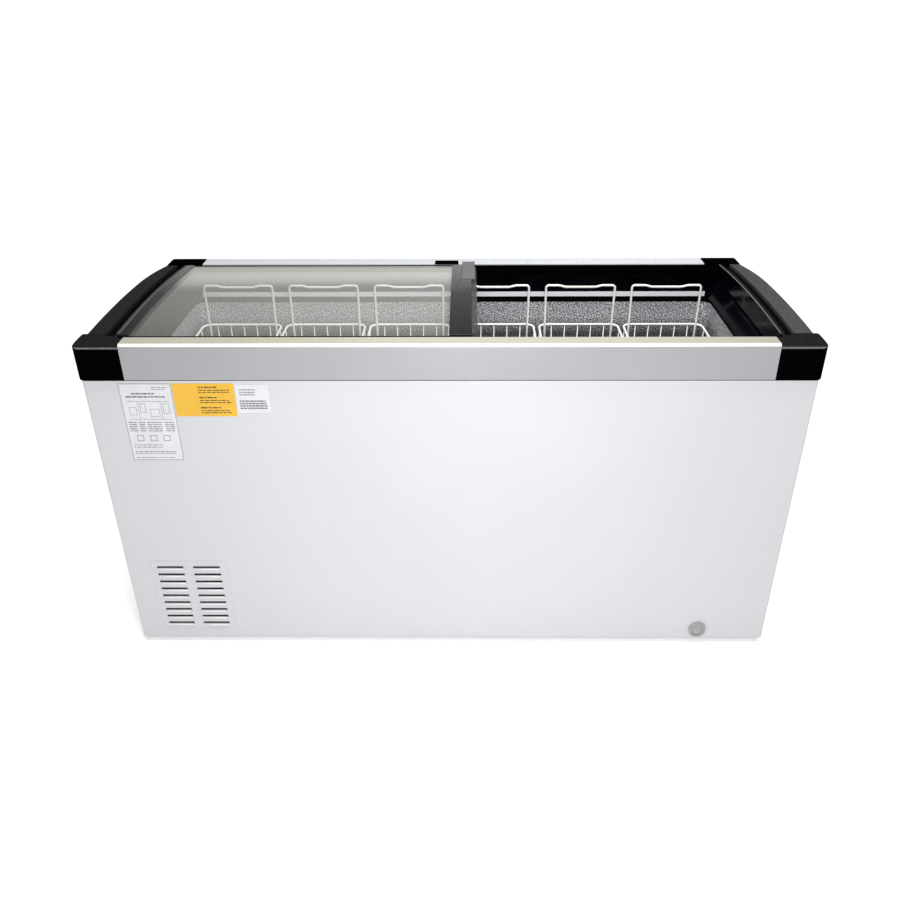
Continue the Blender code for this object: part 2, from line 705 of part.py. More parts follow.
def corner_blocks():
    """Black end blocks of the front and rear rails, round at their outer corners."""
    shoulder = BLOCK_SHOULDER
    rear = FRAME_FRONT - GAP
    side_view = (
        (RAIL_FRONT, RAIL_BOTTOM), (RAIL_FRONT, shoulder - 0.003), (RAIL_FRONT + 0.001, shoulder - 0.001),
        (RAIL_FRONT + 0.003, shoulder), (RAIL_FRONT + 0.018, shoulder + 0.0044),
        (rear, arch(FRAME_FRONT)), (rear, RAIL_BOTTOM),
    )
    crown = arch(FRAME_FRONT) + 0.001
    for side, name in ((-1, "left"), (1, "right")):
        ends = sorted((side * (FRONT_RAIL_END + GAP), side * BLOCK_OUTER))
        block = prism(f"front_corner_{name}", side_view, "X", *ends, "black_plastic")
        notch = sorted((side * 0.60, side * FRAME_INNER))
        low = (notch[0], FRONT_RAIL_INNER - GAP, 0.6)
        cut(block, box(f"corner_notch_{name}", low, (notch[1], 0, 0.9)))
        foot = rounded((-BLOCK_OUTER, RAIL_BOTTOM), (BLOCK_OUTER, 0.90), BLOCK_FOOT_ROUND, 5)
        boolean(block, prism(f"corner_foot_{name}", foot, "Y", -0.5, 0.5), "INTERSECT")
        head = rounded((-BLOCK_OUTER, 0.5), (BLOCK_OUTER, crown), BLOCK_TOP_ROUND, 6)
        boolean(block, prism(f"corner_head_{name}", head, "Y", -0.5, 0.5), "INTERSECT")
        plan = rounded((-BLOCK_OUTER, RAIL_FRONT), (BLOCK_OUTER, rear), BLOCK_PLAN_ROUND, 6)
        boolean(block, prism(f"corner_plan_{name}", plan, "Z", 0.5, 1.0), "INTERSECT")
        cut(smooth(block, 30), frame_slot(f"block_slot_{name}", side))
        ends = sorted((side * (REAR_RAIL_END + GAP), side * REAR_BLOCK_OUTER))
        low = (ends[0], FRAME_REAR + GAP, RAIL_BOTTOM)
        block = box(f"rear_corner_{name}", low, (ends[1], RAIL_BACK, REAR_BLOCK_TOP), "black_plastic")
        face = rounded((-REAR_BLOCK_OUTER, 0.5), (REAR_BLOCK_OUTER, REAR_BLOCK_TOP), REAR_BLOCK_ROUND, 6)
        boolean(block, prism(f"rear_face_{name}", face, "Y", -0.5, 0.5), "INTERSECT")


def frame_outer(y):
    """Outer reach of an end frame at a depth: straight, then drawn in towards the rear."""
    share = max(0.0, (y - TAPER_FROM) / (FRAME_REAR - TAPER_FROM))
    return FRAME_OUTER - FRAME_TAPER * share**2


def end_frames():
    """Arched frames at both ends, each with a slot along its top, and the gloss panels inside them."""
    depths = [FRAME_FRONT + (FRAME_REAR - FRAME_FRONT) * step / ARCH_STEPS for step in range(ARCH_STEPS + 1)]
    outline = [(y, arch(y)) for y in depths] + [(FRAME_REAR, RAIL_BOTTOM), (FRAME_FRONT, RAIL_BOTTOM)]
    plan = [(frame_outer(y), y) for y in depths] + [(0.60, FRAME_REAR + 0.01), (0.60, FRAME_FRONT - 0.01)]
    plan[0] = (FRAME_OUTER, FRAME_FRONT - 0.01)
    plan[ARCH_STEPS] = (frame_outer(FRAME_REAR), FRAME_REAR + 0.01)
    foot = LEDGE_Z + LEDGE_THICK + GAP
    inner = ((0.6570, foot), (0.6600, foot), (MOUTH_X, RIM + 0.0455), (MOUTH_X - 0.003, RIM + 0.0455))
    for side, name in ((-1, "left"), (1, "right")):
        ends = sorted((side * FRAME_INNER, side * (FRAME_OUTER + 0.01)))
        frame = prism(f"end_frame_{name}", outline, "X", *ends, "black_plastic")
        boolean(frame, prism(f"frame_plan_{name}", mirrored(plan, side), "Z", 0.5, 1.0), "INTERSECT")
        cut(smooth(frame, 30), frame_slot(f"frame_slot_{name}", side))
        ends = -MOUTH_Y, MOUTH_Y - 0.003
        prism(f"inner_end_panel_{name}", mirrored(inner, side), "Y", *ends, "gloss_black")


def edge_profile(name, front, drop, right, finish):
    """A lip past the glass edge and a seat under it, along the front or the rear of a lid."""
    edge = GLASS_FRONT if front else GLASS_REAR
    away = -1 if front else 1
    near = edge + away * GAP
    out = edge + away * (FRONT_LIP if front else REAR_LIP)
    inside = edge - away * (LID_SEAT - 0.0020)
    top = arch(edge, drop)
    seat = top - GLASS - 0.0004
    base = seat - SEAT_THICK
    outline = ((out, base), (out, top), (near, top), (near, seat), (inside, seat), (inside, base))
    prism(name, outline, "X", LID_LEFT, right, finish)


def stile(name, left, right, web_right, drop, upper, finish):
    """A channel over a side edge of the glass: a strip above it, one below it and a web past its edge."""
    front = GLASS_FRONT + LID_SEAT
    rear = GLASS_REAR - LID_SEAT
    top_front = GLASS_FRONT if upper else front
    top_rear = GLASS_REAR if upper else rear
    top = drop - GAP - (0.0030 if upper else 0.0020)
    bottom = drop + GLASS + GAP + 0.0025
    web = (right - WEB, right) if web_right else (left, left + WEB)
    strip = arched_plate(name, left, right, top_front, top_rear, top, drop - GAP, finish)
    seat = arched_plate(name + "_seat", left, right, front, rear, drop + GLASS + GAP, bottom)
    middle = arched_plate(name + "_web", *web, front, rear, top + 0.0006, bottom - 0.0006)
    return join(strip, seat, middle)


def lid(name, drop, right, upper):
    """One curved pane with its front, rear, end and meeting profiles."""
    glass_left = LID_LEFT + WEB + GAP
    glass_right = right - WEB - GAP
    arched_plate(
        f"{name}_glass", glass_left, glass_right, GLASS_FRONT, GLASS_REAR, drop, drop + GLASS, "glass"
    )
    edge_profile(f"{name}_front_profile", True, drop, right, "black_plastic")
    edge_profile(f"{name}_rear_profile", False, drop, right, "black_plastic")
    stile(f"{name}_end_profile", LID_LEFT, LID_LEFT + END_WIDTH, False, drop, upper, "black_plastic")
    left = right - (WIDE_STILE if upper else STILE_WIDTH)
    stile(f"{name}_meeting_stile", left, right, True, drop, upper, "black_plastic")


def lids():
    lid("left_lid", LOWER_DROP, LOWER_LID_RIGHT, False)
    stile_right = UPPER_LID_RIGHT - BRUSH_WIDTH - GAP
    lid("right_lid", UPPER_DROP, stile_right, True)
    arched_plate(
        "right_lid_brush", stile_right + GAP, UPPER_LID_RIGHT, GLASS_FRONT + LID_SEAT,
        GLASS_REAR - LID_SEAT, -0.0008, 0.0080, "brush",
    )
    lid_grip()


def lid_grip():
    """Ridged finger grip on top of the right lid's stile, at its rear end."""
    lift = -0.0021
    thick = 0.0035
    top = REAR_RAIL_TOP
    depths = [GRIP_FRONT + (GLASS_REAR - GRIP_FRONT) * step / 6 for step in range(7)]
    outline = [(y, arch(y, lift)) for y in depths]
    outline += [(GRIP_REAR, arch(GLASS_REAR, lift)), (GRIP_REAR, top + 0.0070)]
    outline += [(GRIP_REAR - 0.004, top + 0.0100), (0.258, top + 0.0105)]
    outline += [(y, arch(y, lift) + thick) for y in reversed(depths[:-1])]
    grip = prism("right_lid_grip", outline, "X", GRIP_LEFT, GRIP_RIGHT, "grey_plastic")
    grooves = bmesh.new()
    for groove in range(4):
        left = GRIP_LEFT + 0.0043 + groove * 0.0062
        section = ((0.2575, top + 0.0092), (0.290, top + 0.0075), (0.290, top + 0.02), (0.2575, top + 0.02))
        add_bar(grooves, section, left, left + 0.0028)
    cut(grip, add("grip_grooves", grooves))


def basket(number):
    """Open wire basket standing in the tank, as a thin-walled box with a lifting handle at each end."""
    centre = BASKET_LAST_X - (BASKETS - number) * BASKET_PITCH
    floor = (STEP_TOP if number == 1 else TANK_FLOOR) + TANK_WALL + BASKET_LIFT_GAP
    half = BASKET_WIDTH / 2
    low = (centre - half, BASKET_FRONT)
    high = (centre + half, BASKET_REAR)
    body = prism(f"basket_{number}", rounded(low, high, BASKET_CORNER), "Z", floor, BASKET_RIM, "white_wire")
    wall = BASKET_WALL
    room = rounded(
        (low[0] + wall, low[1] + wall), (high[0] - wall, high[1] - wall), BASKET_CORNER - wall
    )
    cut(body, prism(f"basket_room_{number}", room, "Z", floor + wall, 0.9))
    inset = wall + HANDLE_RADIUS - 0.0010
    for end, depth in (("front", BASKET_FRONT + inset), ("rear", BASKET_REAR - inset)):
        join(body, tube(f"handle_{end}_{number}", handle_path(centre, depth), HANDLE_RADIUS, sides=6))


def handle_path(centre, depth):
    """Up one leg, round a bend, along the top with its shallow dip, and down the other leg."""
    right_half = [(0.040, HANDLE_TOP - HANDLE_DIP), (0.060, HANDLE_TOP)]
    for step in range(4):
        angle = math.radians(90 - 30 * step)
        x = HANDLE_HALF - HANDLE_BEND + HANDLE_BEND * math.cos(angle)
        right_half.append((x, HANDLE_TOP - HANDLE_BEND + HANDLE_BEND * math.sin(angle)))
    right_half.append((HANDLE_HALF, HANDLE_FOOT))
    left_half = [(-x, z) for x, z in reversed(right_half)]
    return [(centre + x, depth, z) for x, z in left_half + right_half]


def build():
    clear_scene()
    front_panel()
    side_and_back_panels()
    base_and_feet()
    foam()
    tank()
    mouth()
    machine_bay()
    fan_blade()
    controls()
    tube("evaporator_coil", coil_path(), COIL_RADIUS, "copper", sides=6)
    drain()
    front_rails()
    rear_rails()
    corner_blocks()
    end_frames()
    lids()
    for number in range(1, BASKETS + 1):
        basket(number)


build()
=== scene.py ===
"""Looks of the sliding-top display chest freezer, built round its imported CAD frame."""

import json
import math
import random

import bmesh
import bpy
from mathutils import Matrix, Vector

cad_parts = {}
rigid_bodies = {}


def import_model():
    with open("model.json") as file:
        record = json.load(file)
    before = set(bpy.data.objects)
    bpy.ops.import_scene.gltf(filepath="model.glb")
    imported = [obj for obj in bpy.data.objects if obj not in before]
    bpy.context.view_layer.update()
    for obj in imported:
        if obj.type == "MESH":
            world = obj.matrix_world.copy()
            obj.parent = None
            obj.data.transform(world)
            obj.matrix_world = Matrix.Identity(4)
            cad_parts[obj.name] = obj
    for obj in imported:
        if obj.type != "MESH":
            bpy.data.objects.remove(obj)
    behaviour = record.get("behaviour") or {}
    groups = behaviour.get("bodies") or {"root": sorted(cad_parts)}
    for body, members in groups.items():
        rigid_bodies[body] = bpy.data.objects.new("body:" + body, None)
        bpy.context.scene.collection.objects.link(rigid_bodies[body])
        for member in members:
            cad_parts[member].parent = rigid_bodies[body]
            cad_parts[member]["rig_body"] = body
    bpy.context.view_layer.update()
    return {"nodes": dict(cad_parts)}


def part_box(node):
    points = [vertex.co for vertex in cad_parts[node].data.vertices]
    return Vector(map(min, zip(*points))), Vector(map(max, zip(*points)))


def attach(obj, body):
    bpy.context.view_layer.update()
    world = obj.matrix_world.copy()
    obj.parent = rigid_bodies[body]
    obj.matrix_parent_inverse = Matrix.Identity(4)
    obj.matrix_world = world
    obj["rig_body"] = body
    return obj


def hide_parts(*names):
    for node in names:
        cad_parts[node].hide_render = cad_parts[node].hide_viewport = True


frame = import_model()
NODES = frame["nodes"]
BASKETS = 6

# Camera: yaw, pitch down and roll in radians, lens for a 36 mm sensor
CAMERA_PLACE = (0.039, -2.092, 1.409)
CAMERA_YAW = -0.0130
CAMERA_PITCH = 0.5819
CAMERA_ROLL = -0.0056
CAMERA_LENS = 36.53
CAMERA_SHIFT = (-0.0083, 0.1215)

# Wire baskets
RIM_WIRE = 0.0028
GRID_WIRE = 0.0013
HOOP_WIRE = 0.0017
GRID_PITCH = 0.034
HOOP_PITCH = 0.11
HOOP_INSET = 0.002
BASKET_CORNER = 0.022
RIM_HEIGHT = 0.624
HANDLE_HALF = 0.0863
HANDLE_BEND = 0.007
HANDLE_DIP = 0.004
HANDLE_FOOT = 0.075

# How much of the light the glass veils, by how edge-on it is seen
GLASS_VEIL = ((0.62, 0.042), (0.755, 0.112), (0.83, 0.70))

# Louvres: slots measured from the panel's left side and foot, lips in front of its face
LIP_DEPTH = 0.0022
LIP_ROUND = 0.0015
LIP_DROP = 0.0024
LIP_STAND = 0.0012
LOUVRE_COLUMNS = ((0.071, 0.133), (0.156, 0.219))
LOUVRE_ROWS = 9
LOUVRE_LOWEST = 0.0408
LOUVRE_PITCH = 0.0202
BEAD_LOW = (0.056, 0.026)
BEAD_HIGH = (0.235, 0.222)
BEAD_CORNER = 0.008
BEAD_ROUND = 0.0011
BEAD_SUNK = 0.0004

# Stickers: how far their back, their face and the print stand off the panel
PAPER_BACK = 0.0001
PAPER_FACE = 0.0004
PRINT_FACE = 0.00055
PAPER_CORNER = 0.002

# Brush
BRUSH_ROWS = 5
BRUSH_TUFTS = 230
PILE_HEIGHT = 0.0085
PILE_UNEVEN = 0.0022
PILE_LEAN = 0.0006

# End frames
ARCH_RADIUS = 4.167
ARCH_CREST_Y = -0.085
SLOT_INSET = 0.0077
SLOT_WIDTH = 0.020
SLOT_DEPTH = 0.008
EDGE_ROUND = 0.008
INNER_ROUND = 0.0010
SLOT_ROUND_IN = 0.0008
SLOT_ROUND_OUT = 0.0012
FRAME_DROP = 0.020
FRAME_TAPER = 0.0120
TAPER_FROM = 0.080
FRAME_STEPS = 40


# ---------------------------------------------------------------- materials


def blank(name, colour, roughness, metallic=0.0, **sockets):
    """A Principled material with its constant values on the shader's own sockets."""
    made = bpy.data.materials.new(name)
    made.use_nodes = True
    shader = made.node_tree.nodes["Principled BSDF"]
    shader.inputs["Base Color"].default_value = (*colour, 1.0)
    shader.inputs["Roughness"].default_value = roughness
    shader.inputs["Metallic"].default_value = metallic
    for socket, value in sockets.items():
        shader.inputs[socket.replace("_", " ")].default_value = value
    made.diffuse_color = (*colour, 1.0)
    return made


def node(made, kind, **values):
    """A new node whose sockets, or settings where it has no such socket, are given by name."""
    new = made.node_tree.nodes.new(kind)
    for key, value in values.items():
        if key in new.inputs:
            new.inputs[key].default_value = value
        else:
            setattr(new, key, value)
    return new


def link(made, out, into):
    made.node_tree.links.new(out, into)


def shader_of(made):
    return made.node_tree.nodes["Principled BSDF"]


def place(made, stretch=(1, 1, 1), coordinates="Object"):
    """Texture coordinates in metres, stretched along each axis."""
    source = node(made, "ShaderNodeTexCoord")
    mapping = node(made, "ShaderNodeMapping")
    mapping.inputs["Scale"].default_value = stretch
    link(made, source.outputs[coordinates], mapping.inputs["Vector"])
    return mapping.outputs["Vector"]


def noise(made, scale, stretch=(1, 1, 1), detail=3.0, rough=0.55):
    texture = node(made, "ShaderNodeTexNoise", Scale=scale, Detail=detail, Roughness=rough)
    link(made, place(made, stretch), texture.inputs["Vector"])
    return texture.outputs["Fac"]


def ramp(made, factor, stops):
    """A colour ramp through (position, colour) stops."""
    new = node(made, "ShaderNodeValToRGB")
    elements = new.color_ramp.elements
    while len(elements) < len(stops):
        elements.new(0.5)
    for element, (position, colour) in zip(elements, stops):
        element.position = position
        element.color = (*colour, 1.0)
    link(made, factor, new.inputs["Fac"])
    return new.outputs["Color"]


def vary_colour(made, factor, low, high, start=0.35, end=0.65):
    """Base colour that runs from low to high as a factor goes from start to end."""
    link(made, ramp(made, factor, ((start, low), (end, high))), shader_of(made).inputs["Base Color"])


def vary_roughness(made, factor, low, high):
    """Roughness that runs from low to high with a factor."""
    spread = node(made, "ShaderNodeMapRange")
    spread.inputs["From Min"].default_value = 0.3
    spread.inputs["From Max"].default_value = 0.7
    spread.inputs["To Min"].default_value = low
    spread.inputs["To Max"].default_value = high
    link(made, factor, spread.inputs["Value"])
    link(made, spread.outputs["Result"], shader_of(made).inputs["Roughness"])


def bump(made, factor, distance, strength=1.0):
    """Fine relief from a factor, its height in metres."""
    new = node(made, "ShaderNodeBump", Strength=strength, Distance=distance)
    link(made, factor, new.inputs["Height"])
    link(made, new.outputs["Normal"], shader_of(made).inputs["Normal"])


def white_enamel():
    """Satin white powder coat: faint orange peel, slightly cool, a little greyer in patches."""
    made = blank("white_enamel", (0.665, 0.672, 0.69), 0.38)
    vary_colour(made, noise(made, 2.2), (0.600, 0.607, 0.625), (0.620, 0.627, 0.645))
    vary_roughness(made, noise(made, 40), 0.30, 0.40)
    bump(made, noise(made, 260, detail=2.0), 0.00012, 0.5)
    return made


def galvanised():
    """Zinc-coated sheet with its spangle."""
    made = blank("galvanised", (0.55, 0.57, 0.59), 0.42, 0.85)
    cells = node(made, "ShaderNodeTexVoronoi", Scale=70)
    link(made, place(made), cells.inputs["Vector"])
    vary_colour(made, cells.outputs["Color"], (0.46, 0.48, 0.50), (0.64, 0.66, 0.68), 0.0, 1.0)
    vary_roughness(made, cells.outputs["Distance"], 0.34, 0.5)
    bump(made, noise(made, 300), 0.0001, 0.4)
    return made


def satin_rail():
    """Silver-painted extrusion with fine drawing lines along it."""
    made = blank("satin_rail", (0.42, 0.425, 0.45), 0.42, 0.2)
    vary_colour(made, noise(made, 3, (0.6, 1, 1)), (0.345, 0.35, 0.37), (0.375, 0.38, 0.40))
    lines = noise(made, 900, (0.012, 1, 1), detail=2.0)
    vary_roughness(made, lines, 0.36, 0.46)
    bump(made, lines, 0.00006, 0.5)
    return made


def cream_cap():
    """Cream plastic strip with drawing lines along it."""
    made = blank("cream_cap", (0.49, 0.47, 0.38), 0.42)
    vary_colour(made, noise(made, 5, (0.5, 1, 1)), (0.47, 0.45, 0.36), (0.51, 0.49, 0.40))
    vary_roughness(made, noise(made, 60), 0.36, 0.48)
    bump(made, noise(made, 700, (0.05, 1, 1)), 0.00005, 0.5)
    return made


def pale_cap():
    """Thin bright white strip."""
    made = blank("pale_cap", (0.80, 0.82, 0.85), 0.30)
    vary_colour(made, noise(made, 8, (0.5, 1, 1)), (0.72, 0.74, 0.77), (0.77, 0.79, 0.82))
    vary_roughness(made, noise(made, 60), 0.26, 0.36)
    return made


def lip_highlight():
    """The front's white paint, made far paler on the rolled lips as a painted highlight."""
    made = blank("lip_highlight", (0.96, 0.96, 0.96), 0.35)
    vary_colour(made, noise(made, 30), (0.94, 0.94, 0.94), (0.98, 0.98, 0.98))
    vary_roughness(made, noise(made, 200), 0.30, 0.42)
    bump(made, noise(made, 700), 0.0001, 0.3)
    return made


def cream_nose_highlight():
    """The cap's glossy sloping nose, paler than its top: a painted highlight."""
    made = blank("cream_nose_highlight", (0.84, 0.83, 0.76), 0.25)
    vary_colour(made, noise(made, 8, (0.5, 1, 1)), (0.80, 0.79, 0.71), (0.88, 0.87, 0.81))
    vary_roughness(made, noise(made, 60), 0.2, 0.32)
    return made


def grained_black(name, tone, roughness, specular, depth=0.00018):
    """Moulded black plastic with a spark-eroded grain about a millimetre across."""
    colour = (tone, tone, tone * 1.04)
    made = blank(name, colour, roughness, Specular_IOR_Level=specular)
    vary_colour(made, noise(made, 90), [0.85 * part for part in colour], [1.2 * part for part in colour])
    grain = noise(made, 1100, detail=4.0, rough=0.6)
    vary_roughness(made, grain, roughness - 0.05, roughness + 0.08)
    bump(made, grain, depth, 0.8)
    return made


def stile_black():
    """Satin black extrusion, with a painted reflection that makes it palest towards its rear end."""
    made = blank("stile_black", (0.05, 0.05, 0.05), 0.4, Specular_IOR_Level=0.35)
    # Base colour climbs from near black at the front to pale grey at the rear: a painted reflection, broken
    # by random streaks of tone.
    along = node(made, "ShaderNodeSeparateXYZ")
    link(made, place(made), along.inputs["Vector"])
    reach = node(made, "ShaderNodeMapRange")
    reach.inputs["From Min"].default_value = -0.28
    reach.inputs["From Max"].default_value = 0.27
    link(made, along.outputs["Y"], reach.inputs["Value"])
    reach.inputs["To Max"].default_value = 0.8333
    painted_sheen = node(made, "ShaderNodeMath", operation="MULTIPLY_ADD")
    link(made, noise(made, 60, (3, 0.3, 1)), painted_sheen.inputs[0])
    painted_sheen.inputs[1].default_value = 0.2083
    link(made, reach.outputs["Result"], painted_sheen.inputs[2])
    stops = ((0.0833, (0.011,) * 3), (0.50, (0.040,) * 3), (0.9167, (0.21,) * 3))
    link(made, ramp(made, painted_sheen.outputs["Value"], stops), shader_of(made).inputs["Base Color"])
    lines = noise(made, 900, (1, 0.015, 1), detail=2.0)
    vary_roughness(made, lines, 0.34, 0.46)
    bump(made, lines, 0.00006, 0.6)
    return made


def gloss_black():
    """Glossy black sheet, gently wavy."""
    made = blank("gloss_black", (0.0015, 0.0018, 0.003), 0.12, Specular_IOR_Level=0.03)
    vary_colour(made, noise(made, 12), (0.001, 0.0013, 0.0025), (0.003, 0.0035, 0.006))
    vary_roughness(made, noise(made, 30), 0.10, 0.19)
    bump(made, noise(made, 25, detail=1.0), 0.0004, 0.4)
    return made


def embossed_aluminium():
    """Stucco-embossed sheet: shallow random dimples a few millimetres across, with painted glints and painted
    shade that darkens it below about 0.6 m.
    """
    made = blank("embossed_aluminium", (0.72, 0.73, 0.77), 0.30, 0.5)
    stucco = noise(made, 300, detail=1.5, rough=0.6)
    # Colour from dark to full white with the dimples: painted glints.
    bright = ramp(made, stucco, ((0.42, (0.13, 0.14, 0.19)), (0.60, (1.0, 1.0, 1.0))))
    height = node(made, "ShaderNodeSeparateXYZ")
    link(made, place(made), height.inputs["Vector"])
    # Colour darkened from 0.636 m down to 0.59 m high: painted shade inside the tank.
    level = node(made, "ShaderNodeMapRange")
    level.inputs["From Min"].default_value = 0.590
    level.inputs["From Max"].default_value = 0.636
    level.inputs["To Min"].default_value = 0.22
    level.inputs["To Max"].default_value = 1.0
    link(made, height.outputs["Z"], level.inputs["Value"])
    mixed = node(made, "ShaderNodeVectorMath", operation="SCALE")
    link(made, bright, mixed.inputs["Vector"])
    link(made, level.outputs["Result"], mixed.inputs["Scale"])
    link(made, mixed.outputs["Vector"], shader_of(made).inputs["Base Color"])
    vary_roughness(made, noise(made, 60), 0.24, 0.38)
    bump(made, stucco, 0.0014, 1.0)
    return made


def bright_strip():
    """Anodised strip, drawn lengthwise; its pale tone is partly its own and partly a painted reflection, near
    white and matt in place of shiny metal.
    """
    made = blank("bright_strip", (0.95, 0.96, 1.0), 0.28)
    vary_colour(made, noise(made, 9, (0.3, 1, 1)), (0.92, 0.93, 1.0), (0.97, 0.98, 1.0))
    lines = noise(made, 900, (0.01, 1, 1))
    vary_roughness(made, lines, 0.22, 0.34)
    bump(made, lines, 0.00005, 0.4)
    return made


def lid_glass():
    """Clear float glass, faintly grey-green, that veils more at a slant as real glass does."""
    made = blank("lid_glass", (0.80, 0.825, 0.76), 0.04, Specular_IOR_Level=0.6)
    vary_colour(made, noise(made, 2.0), (0.78, 0.805, 0.74), (0.82, 0.845, 0.78))
    vary_roughness(made, noise(made, 6), 0.03, 0.06)
    slant = node(made, "ShaderNodeLayerWeight", Blend=0.5)
    stops = [(facing, (veil, veil, veil)) for facing, veil in GLASS_VEIL]
    link(made, ramp(made, slant.outputs["Facing"], stops), shader_of(made).inputs["Alpha"])
    return made


def coated_wire():
    """Thick white plastic coating with drips and small unevenness."""
    made = blank("coated_wire", (0.97, 0.965, 0.92), 0.36, Coat_Weight=0.2, Coat_Roughness=0.25)
    vary_colour(made, noise(made, 22), (0.95, 0.945, 0.90), (0.99, 0.985, 0.95))
    vary_roughness(made, noise(made, 90), 0.30, 0.44)
    bump(made, noise(made, 160), 0.0003, 0.6)
    return made


def grey_plastic(name="grey_plastic", tone=0.30):
    """Satin grey plastic with a fine grain."""
    made = blank(name, (tone, tone, tone * 1.02), 0.48)
    vary_colour(made, noise(made, 70), (tone * 0.88,) * 3, (tone * 1.12,) * 3)
    grain = noise(made, 900, detail=3.0)
    vary_roughness(made, grain, 0.42, 0.55)
    bump(made, grain, 0.00012, 0.7)
    return made


def foam():
    """Rigid polyurethane foam."""
    made = blank("foam", (0.80, 0.66, 0.36), 0.95)
    vary_colour(made, noise(made, 120), (0.72, 0.58, 0.30), (0.86, 0.73, 0.44))
    bump(made, noise(made, 500, detail=5.0), 0.001)
    return made


def copper():
    """Drawn copper tube, tarnished in patches."""
    made = blank("copper", (0.70, 0.38, 0.24), 0.35, 1.0)
    vary_colour(made, noise(made, 30), (0.55, 0.28, 0.18), (0.78, 0.45, 0.30))
    vary_roughness(made, noise(made, 80), 0.28, 0.5)
    return made


def rubber():
    """Matt black rubber."""
    made = blank("rubber", (0.03, 0.03, 0.03), 0.8)
    vary_colour(made, noise(made, 60), (0.022, 0.022, 0.022), (0.045, 0.045, 0.045))
    bump(made, noise(made, 600), 0.0002, 0.7)
    return made


def bristle():
    """Black brush pile, streaked along its hairs."""
    made = blank("bristle", (0.10, 0.10, 0.10), 0.9, Sheen_Weight=0.2)
    vary_colour(made, noise(made, 300, (1, 1, 0.3), detail=4.0), (0.004, 0.004, 0.004), (0.16, 0.16, 0.155))
    bump(made, noise(made, 900, (0.2, 1, 0.2)), 0.0006)
    return made


def finishes():
    """Materials for the CAD nodes that keep their shape, and round-edged stand-ins for the rest."""
    white = white_enamel()
    zinc = galvanised()
    rail = satin_rail()
    cream = cream_cap()
    corner = grained_black("corner_black", 0.0010, 0.45, 0.0, 0.00008)
    # Paler copies of the corner black: painted light on the blocks' tops and a painted highlight along their
    # front top edge.
    lit_top_black = grained_black("corner_top_black", 0.012, 0.50, 0.05, 0.00008)
    sheen = grained_black("corner_edge_highlight", 0.12, 0.40, 0.3, 0.00004)
    # One black in two tones per side: painted light on the right outer band and the left inner land, painted
    # shade on the left outer band and the right inner land.
    band_light_and_shade = {
        "left": grained_black("left_band_painted_shade", 0.015, 0.55, 0.1),
        "right": grained_black("right_band_painted_light", 0.058, 0.55, 0.3),
    }
    land_light_and_shade = {
        "left": grained_black("left_land_painted_light", 0.060, 0.5, 0.3, 0.00008),
        "right": grained_black("right_land_painted_shade", 0.012, 0.5, 0.1, 0.00008),
    }
    track = grained_black("track_black", 0.0016, 0.40, 0.0, 0.00006)
    stile = stile_black()
    gloss = gloss_black()
    # Paler grey on the end frames' inner round edge: a painted highlight.
    painted_sheen = grained_black("edge_sheen_painted", 0.22, 0.35, 0.5, 0.00006)
    slot_black = grained_black("slot_black", 0.0012, 0.6, 0.03, 0.00008)
    grey = grey_plastic()
    kept = {
        white: ("front_panel", "side_panel_left", "side_panel_right"),
        zinc: ("back_panel", "rear_vent_panel", "base_tray", "fan_bracket", "fan_motor"),
        # The compressor and condenser take the corner blocks' near-total black: black as condensers often
        # are, and made that deep as painted shade so the louvre slots in front read dark.
        corner: ("compressor", "condenser", "thermostat", "cord_gland"),
        track: ("front_track", "rear_track", "top_collar", "breaker_ledge",
                "left_lid_front_profile", "left_lid_rear_profile",
                "right_lid_front_profile", "right_lid_rear_profile"),
        gloss: ("rear_inner_panel", "inner_end_panel_left", "inner_end_panel_right"),
        embossed_aluminium(): ("inner_tank",),
        bright_strip(): ("rear_trim_strip",),
        lid_glass(): ("left_lid_glass", "right_lid_glass"),
        grey: ("drain_tube", "fan_blade", "thermostat_knob"),
        grey_plastic("cap_grey", 0.34): ("drain_cap",),
        foam(): ("foam_insulation",),
        copper(): ("evaporator_coil",),
        rubber(): ("foot_front_left", "foot_front_right", "foot_rear_left", "foot_rear_right"),
    }
    louvre_edges(white)
    for made, names in kept.items():
        for name in names:
            mesh = NODES[name].data
            mesh.materials.clear()
            mesh.materials.append(made)
            smooth_normals(mesh)
    for side in ("left", "right"):
        end_frame(side, (band_light_and_shade[side], gloss, painted_sheen, slot_black, land_light_and_shade[side]))
        rounded_copy(f"rear_corner_{side}", corner, 0.0030, "black_plastic")
        block = rounded_copy(f"front_corner_{side}", corner, 0.0004, "black_plastic")
        # Painted highlight on each block's front top edge and painted light on its top.
        tint_faces(block, sheen, lambda normal: normal.y < -0.3 and normal.z > 0.25)
        tint_faces(block, lit_top_black, lambda normal: normal.z > 0.6 and normal.y > -0.3)
        rounded_copy(f"{side}_lid_meeting_stile", stile, 0.0006, "black_plastic")
        rounded_copy(f"{side}_lid_end_profile", stile, 0.0004, "black_plastic")
    rounded_copy("front_rail", rail, 0.0008, "satin_rail")
    rounded_copy("rear_rail", rail, 0.0008, "satin_rail")
    rounded_copy("rear_rail_cap", pale_cap(), 0.0003, "white_steel")
    cap = rounded_copy("front_rail_cap", cream, 0.0004, "cream_plastic")
    # Painted highlight on the cap's sloping nose.
    tint_faces(cap, cream_nose_highlight(), lambda normal: normal.y < -0.4)
    rounded_copy("centre_stop", corner, 0.0008, "black_plastic")
    rounded_copy("right_lid_grip", grey_plastic("grip_grey", 0.17), 0.0006, "grey_plastic")


# -------------------------------------------------------------- end frames


def crown(y, top):
    """Height at a depth of the arch that the end frames and the lids follow."""
    return top - ARCH_RADIUS + math.sqrt(ARCH_RADIUS**2 - (y - ARCH_CREST_Y) ** 2)


